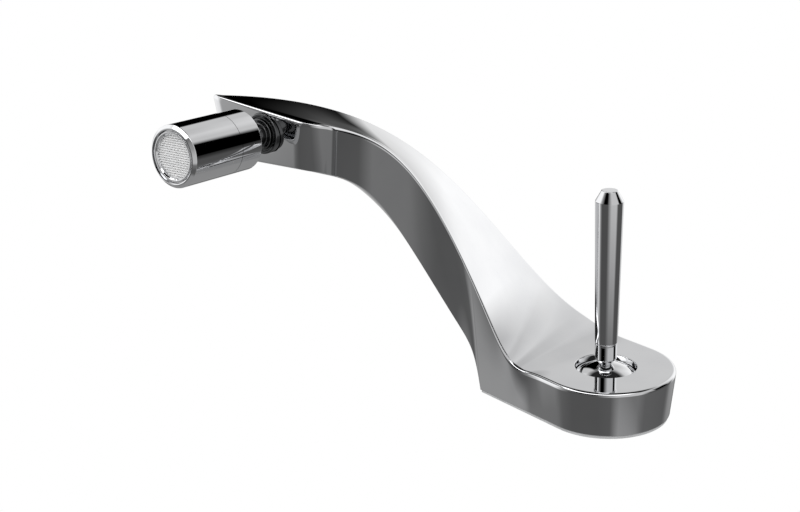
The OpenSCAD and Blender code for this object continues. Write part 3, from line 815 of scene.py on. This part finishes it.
# Ball joint
# A hollow chromed brass ball on a flanged neck is screwed into the end face over a rubber seal. Its chrome
# is given a dark colour as painted shade, standing in for the shaded gap between the outlet collar and the
# end face. A plastic liner and a rubber ring hold it inside the outlet, stiff enough to stay where it is
# turned.
BALL_R, NECK_R, FLANGE_R, BOSS_R, WATER_R = 0.0085, 0.0044, 0.0081, 0.0062, 0.0028
BALL_FRONT, BALL_FOOT = 0.0066, -BALL_R - 0.0002
STEM_FOOT, FLANGE_FOOT = -BALL_OFF - 0.014, -BALL_OFF - 0.001
FLANGE_FRONT, BOSS_FRONT = -BALL_OFF + 0.002, -BALL_OFF + 0.0034
RIM_W, RIM_SLOPE_W, RIM_H = 0.0011, 0.0013, 0.0005
FLANGE_ROUND, RIM_ROUND, GROOVE_ROUND, BOSS_ROUND, NECK_ROUND = 0.0005, 0.0001, 0.0002, 0.0004, 0.0005
ball_arc = arc_points(BALL_R, math.acos(BALL_FRONT / BALL_R), math.pi - math.asin(NECK_R / BALL_R), 48)
stem_outline = eased([
    (WATER_R, STEM_FOOT, 0),
    (STEM_OUT_R, STEM_FOOT, 0),
    (STEM_OUT_R, FLANGE_FOOT, 0),
    (FLANGE_R, FLANGE_FOOT, 0),
    (FLANGE_R, FLANGE_FRONT, FLANGE_ROUND),
    (FLANGE_R - RIM_W, FLANGE_FRONT, RIM_ROUND),
    (FLANGE_R - RIM_SLOPE_W, FLANGE_FRONT - RIM_H, GROOVE_ROUND),
    (BOSS_R, FLANGE_FRONT - RIM_H, GROOVE_ROUND),
    (BOSS_R, BOSS_FRONT, BOSS_ROUND),
    (NECK_R, BOSS_FRONT, NECK_ROUND),
    (NECK_R, BALL_FOOT, 0),
])
stem_outline += reversed(ball_arc)
stem_outline.append(Vector((WATER_R, BALL_FRONT)))
# Painted shade: the ball's chrome colour is made dark to stand in for the shade in the gap behind the
# outlet collar.
painted_shade_chrome = finish("Chrome darkened as painted shade", (0.15, 0.152, 0.155), (0.12, 0.122, 0.125),
                    metal=1, rough=(0.06, 0.12), haze=200, grain=90, depth=1e-6)
ball = turned("outlet_ball", stem_outline, OUTLET)
coat(ball, painted_shade_chrome)
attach(ball, "base")
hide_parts("ball_stem")
coat(frame["nodes"]["stem_seal"], black_rubber)
coat(frame["nodes"]["ball_liner"], grey_plastic)
coat(frame["nodes"]["ball_gasket"], black_rubber)

# Outlet housing
# Two chromed brass turnings screw together round the ball: a rear collar with a wide chamfer and a long
# front sleeve. Their joint shows as one fine line, and the mouth of the sleeve has a bright bevel.
OUT_R, OUT_LEN, JOINT, SEAT = 0.012, 0.0315, 0.0059, 0.009
HOLLOW_R, SLEEVE_IN, SLEEVE_T = 0.01, OUT_R - 0.0044, 0.0019
COLLAR_BACK, COLLAR_BEVEL, COLLAR_OPEN = -0.007, 0.0025, 0.0086
BACK_ROUND, BACK_EDGE_ROUND, SHOULDER_ROUND = 0.0002, 0.0003, 0.0005
LINE, LINE_DEPTH = 0.0001, 0.0006
SPIGOT, SPIGOT_R = 0.0006, HOLLOW_R - 0.00005
BEVEL_START, BEVEL_W, BEVEL_DROP = 0.0012, 0.0012, 0.00005
MOUTH_W, MOUTH_DROP = 0.0016, 0.0002
BEVEL_ROUND, BEVEL_END_ROUND, MOUTH_ROUND = 0.0004, 0.0003, 0.0001
collar_out = eased([
    (HOLLOW_R, JOINT, 0),
    (COLLAR_OPEN, COLLAR_BACK, BACK_ROUND),
    (OUT_R - COLLAR_BEVEL, COLLAR_BACK, BACK_EDGE_ROUND),
    (OUT_R, COLLAR_BACK + COLLAR_BEVEL, SHOULDER_ROUND),
    (OUT_R, JOINT - LINE, 0),
    (OUT_R - LINE_DEPTH, JOINT - LINE, 0),
    (OUT_R - LINE_DEPTH, JOINT, 0),
])
hollow = arc_points(HOLLOW_R, math.pi / 2, math.pi - math.asin(COLLAR_OPEN / HOLLOW_R), 24)
rear_collar = turned("outlet_rear_collar", collar_out[:1] + hollow + collar_out[1:], OUTLET)
sleeve_outline = eased([
    (SLEEVE_IN, JOINT - SPIGOT, 0),
    (SPIGOT_R, JOINT - SPIGOT, 0),
    (SPIGOT_R, JOINT, 0),
    (OUT_R - LINE_DEPTH, JOINT, 0),
    (OUT_R - LINE_DEPTH, JOINT + LINE, 0),
    (OUT_R, JOINT + LINE, 0),
    (OUT_R, OUT_LEN - BEVEL_START, BEVEL_ROUND),
    (OUT_R - BEVEL_W, OUT_LEN - BEVEL_DROP, BEVEL_END_ROUND),
    (OUT_R - MOUTH_W, OUT_LEN, MOUTH_ROUND),
    (OUT_R - SLEEVE_T, OUT_LEN - MOUTH_DROP, 0),
    (OUT_R - SLEEVE_T, SEAT, 0),
    (SLEEVE_IN, SEAT, 0),
])
sleeve = turned("outlet_sleeve", sleeve_outline, OUTLET)
for piece, node in ((rear_collar, "swivel_nut"), (sleeve, "swivel_sleeve")):
    coat(piece, chrome)
    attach(piece, "outlet")
    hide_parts(node)

# Aerator
# A moulded insert on a rubber washer sits in the sleeve behind a woven screen of fine steel wire, and a
# polished ring snaps over the edge of the screen. The bright rows of wire pass over and under the thinner
# wires across them.
SCREEN = {
    "Radius": 0.0095,
    "Height": OUT_LEN - 0.0021,
    "Wire pitch": 0.0009,
    "Row radius": 0.00036,
    "Cross radius": 0.00014,
    "Weave depth": 0.00022,
}
SCREEN_WIRES, WIRE_POINTS, WIRE_SIDES = 21, 110, 8


def screen_tree(material):
    """Thick rows of wire and thinner cross wires, cut round and bent over and under each other."""
    tree, size = new_tree("Woven screen", SCREEN)
    pitch, reach = size["Wire pitch"], size["Radius"]
    wire = tree.nodes.new("GeometryNodeCurvePrimitiveLine")
    wire.inputs["Start"].default_value = (-1, 0, 0)
    wire.inputs["End"].default_value = (1, 0, 0)
    fine = tree.nodes.new("GeometryNodeResampleCurve")
    fine.inputs["Count"].default_value = WIRE_POINTS
    tree.links.new(wire.outputs[0], fine.inputs["Curve"])
    spread = tree.nodes.new("GeometryNodeMeshLine")
    spread.inputs["Count"].default_value = SCREEN_WIRES
    spread.inputs["Start Location"].default_value = (0, (1 - SCREEN_WIRES) / 2, 0)
    spread.inputs["Offset"].default_value = (0, 1, 0)
    copies = tree.nodes.new("GeometryNodeInstanceOnPoints")
    tree.links.new(spread.outputs[0], copies.inputs["Points"])
    tree.links.new(fine.outputs[0], copies.inputs["Instance"])
    apart = tree.nodes.new("GeometryNodeRealizeInstances")
    tree.links.new(copies.outputs[0], apart.inputs[0])
    place = tree.nodes.new("ShaderNodeSeparateXYZ")
    tree.links.new(tree.nodes.new("GeometryNodeInputPosition").outputs[0], place.inputs[0])
    across = Field(tree, place.outputs["Y"]) * pitch
    half = (reach * reach - across * across).math("MAXIMUM", 0).math("SQRT")
    along = Field(tree, place.outputs["X"]) * half
    over = (along * math.pi / pitch).math("COSINE") * (across * math.pi / pitch).math("COSINE")
    lift = over * size["Weave depth"]
    woven = tree.nodes.new("GeometryNodeJoinGeometry")
    for position, radius in (
        ((along, across, size["Height"] + lift), size["Row radius"]),
        ((across, along, size["Height"] - lift), size["Cross radius"]),
    ):
        profile = tree.nodes.new("GeometryNodeCurvePrimitiveCircle")
        profile.inputs["Resolution"].default_value = WIRE_SIDES
        tree.links.new(radius.socket, profile.inputs["Radius"])
        tube = tree.nodes.new("GeometryNodeCurveToMesh")
        tube.inputs["Fill Caps"].default_value = True
        tree.links.new(moved(tree, apart.outputs[0], position), tube.inputs["Curve"])
        tree.links.new(profile.outputs[0], tube.inputs["Profile Curve"])
        tree.links.new(tube.outputs[0], woven.inputs[0])
    end_tree(tree, woven.outputs[0], material)
    return tree


wire_steel = finish("Drawn wire", (0.95, 0.95, 0.95), (0.88, 0.885, 0.89),
                    metal=0.2, rough=(0.2, 0.35), haze=300, grain=6000, depth=2e-6)
screen = made_by(screen_tree(wire_steel), "aerator_screen", SCREEN)
screen.data.transform(OUTLET)
coat(screen, wire_steel)
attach(screen, "outlet")
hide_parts("mesh_screen")

RING_R, RING_GROOVE, RING_W = OUT_R - SLEEVE_T - 0.0001, 0.0004, 0.0012
MESH_FRONT, RING_STEP = OUT_LEN - 0.0018, OUT_LEN - 0.0012
RING_FRONT, RING_LIP, RING_CROWN = OUT_LEN - 0.0003, OUT_LEN - 0.0009, 0.6
RING_ROUND, RING_LIP_ROUND = 0.0003, 0.0001
crown_r = RING_R - RING_GROOVE
bezel_outline = eased([
    (crown_r - RING_W, MESH_FRONT, 0),
    (RING_R, MESH_FRONT, 0),
    (RING_R, RING_STEP, 0),
    (crown_r, RING_STEP, 0),
    (crown_r, RING_FRONT, RING_ROUND),
    (crown_r - RING_CROWN * RING_W, RING_FRONT, RING_ROUND),
    (crown_r - RING_W, RING_LIP, RING_LIP_ROUND),
])
bezel = turned("aerator_bezel", bezel_outline, OUTLET)
coat(bezel, chrome)
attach(bezel, "outlet")
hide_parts("aerator_ring")
coat(frame["nodes"]["aerator_washer"], black_rubber)
coat(frame["nodes"]["aerator_insert"], white_plastic)

# Stage
# A plain pale deck under the mixer, a hair below the level where the sheet under the base rests. It shows
# only to the camera, so that the chrome mirrors the studio alone.
DECK_HALF, DECK_LEVEL = 3, -5e-5
corners = [(DECK_HALF * x, DECK_HALF * y, DECK_LEVEL) for x, y in ((-1, -1), (1, -1), (1, 1), (-1, 1))]
deck_mesh = bpy.data.meshes.new("deck")
deck_mesh.from_pydata(corners, [], [(0, 1, 2, 3)])
deck = bpy.data.objects.new("deck", deck_mesh)
bpy.context.scene.collection.objects.link(deck)
deck.visible_glossy = False
deck.visible_diffuse = False
deck.visible_shadow = False
pale = bpy.data.materials.new("Pale deck")
pale.use_nodes = True
pale.node_tree.nodes.clear()
glow = pale.node_tree.nodes.new("ShaderNodeEmission")
surface = pale.node_tree.nodes.new("ShaderNodeOutputMaterial")
pale.node_tree.links.new(glow.outputs[0], surface.inputs["Surface"])
coat(deck, pale)

# Studio
# Plain soft light all round: a grey floor, a pale wall and a dark ceiling, with broad soft panels laid over
# them in turn. Each panel has its compass and height, half its width and height, its softness at the sides
# and at the ends, all in degrees, and its brightness. To the camera and to matt pieces the studio is white.
FLOOR, WALL, CEILING = 0.28, 0.61, 0.02
WALL_FOOT, WALL_FOOT_SOFT, WALL_HEAD, WALL_HEAD_SOFT = -39, 4, 49, 12
PANELS = (
    ("belt of floor", 0, -30, 180, 9, 10, 7, 0.18),
    ("left wall", -154, 12, 31, 35, 14, 20, 1.1),
    ("back light", 99, 10, 15, 28, 13, 26, 0.97),
    ("low back light", 104, 5, 30, 12, 29, 18, 1.1),
    ("dark floor at the left front", -82, -41, 54, 9, 16, 8, 0.11),
    ("dark gap at the left front", -82, -12, 39, 28, 31, 35, 0.08),
    ("black gap at the left front", -78, 30, 36, 21, 41, 19, 0),
    ("front ceiling light", -75, 54, 90, 7, 30, 4, 2.5),
    ("dark gap at the right", 53, -15, 32, 22, 15, 28, 0.085),
    ("right flag", 54, 12, 15, 20, 6, 12, 0),
    ("left flag", 147, 20, 9, 28, 3, 10, 0),
    ("foot of the left flag", 142, -9, 2, 9, 3, 7, 0.08),
)
world = bpy.data.worlds.new("Studio")
bpy.context.scene.world = world
world.use_nodes = True
studio = world.node_tree
heading = studio.nodes.new("ShaderNodeSeparateXYZ")
studio.links.new(studio.nodes.new("ShaderNodeTexCoord").outputs["Generated"], heading.inputs[0])
east, north, upward = (Field(studio, port) for port in heading.outputs)
compass = north.math("ARCTAN2", east) * math.degrees(1)
climbed = upward.math("ARCSINE") * math.degrees(1)
level = share((climbed - WALL_FOOT) / WALL_FOOT_SOFT + 0.5) * (WALL - FLOOR) + FLOOR
level = level + share((climbed - WALL_HEAD) / WALL_HEAD_SOFT + 0.5) * (CEILING - level)
for _, at_compass, at_height, half_width, half_height, side_soft, end_soft, brightness in PANELS:
    aside = (compass - at_compass).math("WRAP", 180, -180).math("ABSOLUTE")
    above = (climbed - at_height).math("ABSOLUTE")
    mask = share((half_width - aside) / side_soft + 0.5) * share((half_height - above) / end_soft + 0.5)
    level = level + mask * (brightness - level)
ray = studio.nodes.new("ShaderNodeLightPath")
seen, matt = (Field(studio, ray.outputs[name]) for name in ("Is Camera Ray", "Is Diffuse Ray"))
level = level + seen.math("MAXIMUM", matt) * (1 - level)
studio.links.new(level.socket, studio.nodes["Background"].inputs["Color"])

# Camera
# A long lens above the front right, at the angle of the product view. Its eye, its line of sight and its
# upright were solved on the base, the dish and the lever.
camera = bpy.data.objects.new("camera", bpy.data.cameras.new("camera"))
bpy.context.scene.collection.objects.link(camera)
bpy.context.scene.camera = camera
camera.data.lens = 64.67
camera.data.sensor_width = 36
camera.data.clip_start = 0.01
eye = Vector((0.3894, -0.4012, 0.2588))
forward = Vector((-0.755, 0.572, -0.321)).normalized()
up = Vector((-0.24, 0.214, 0.947))
up = (up - forward * up.dot(forward)).normalized()
across = forward.cross(up)
camera.matrix_world = Matrix((
    (across.x, up.x, -forward.x, eye.x),
    (across.y, up.y, -forward.y, eye.y),
    (across.z, up.z, -forward.z, eye.z),
    (0, 0, 0, 1),
))
bpy.context.scene.view_settings.view_transform = "Standard"
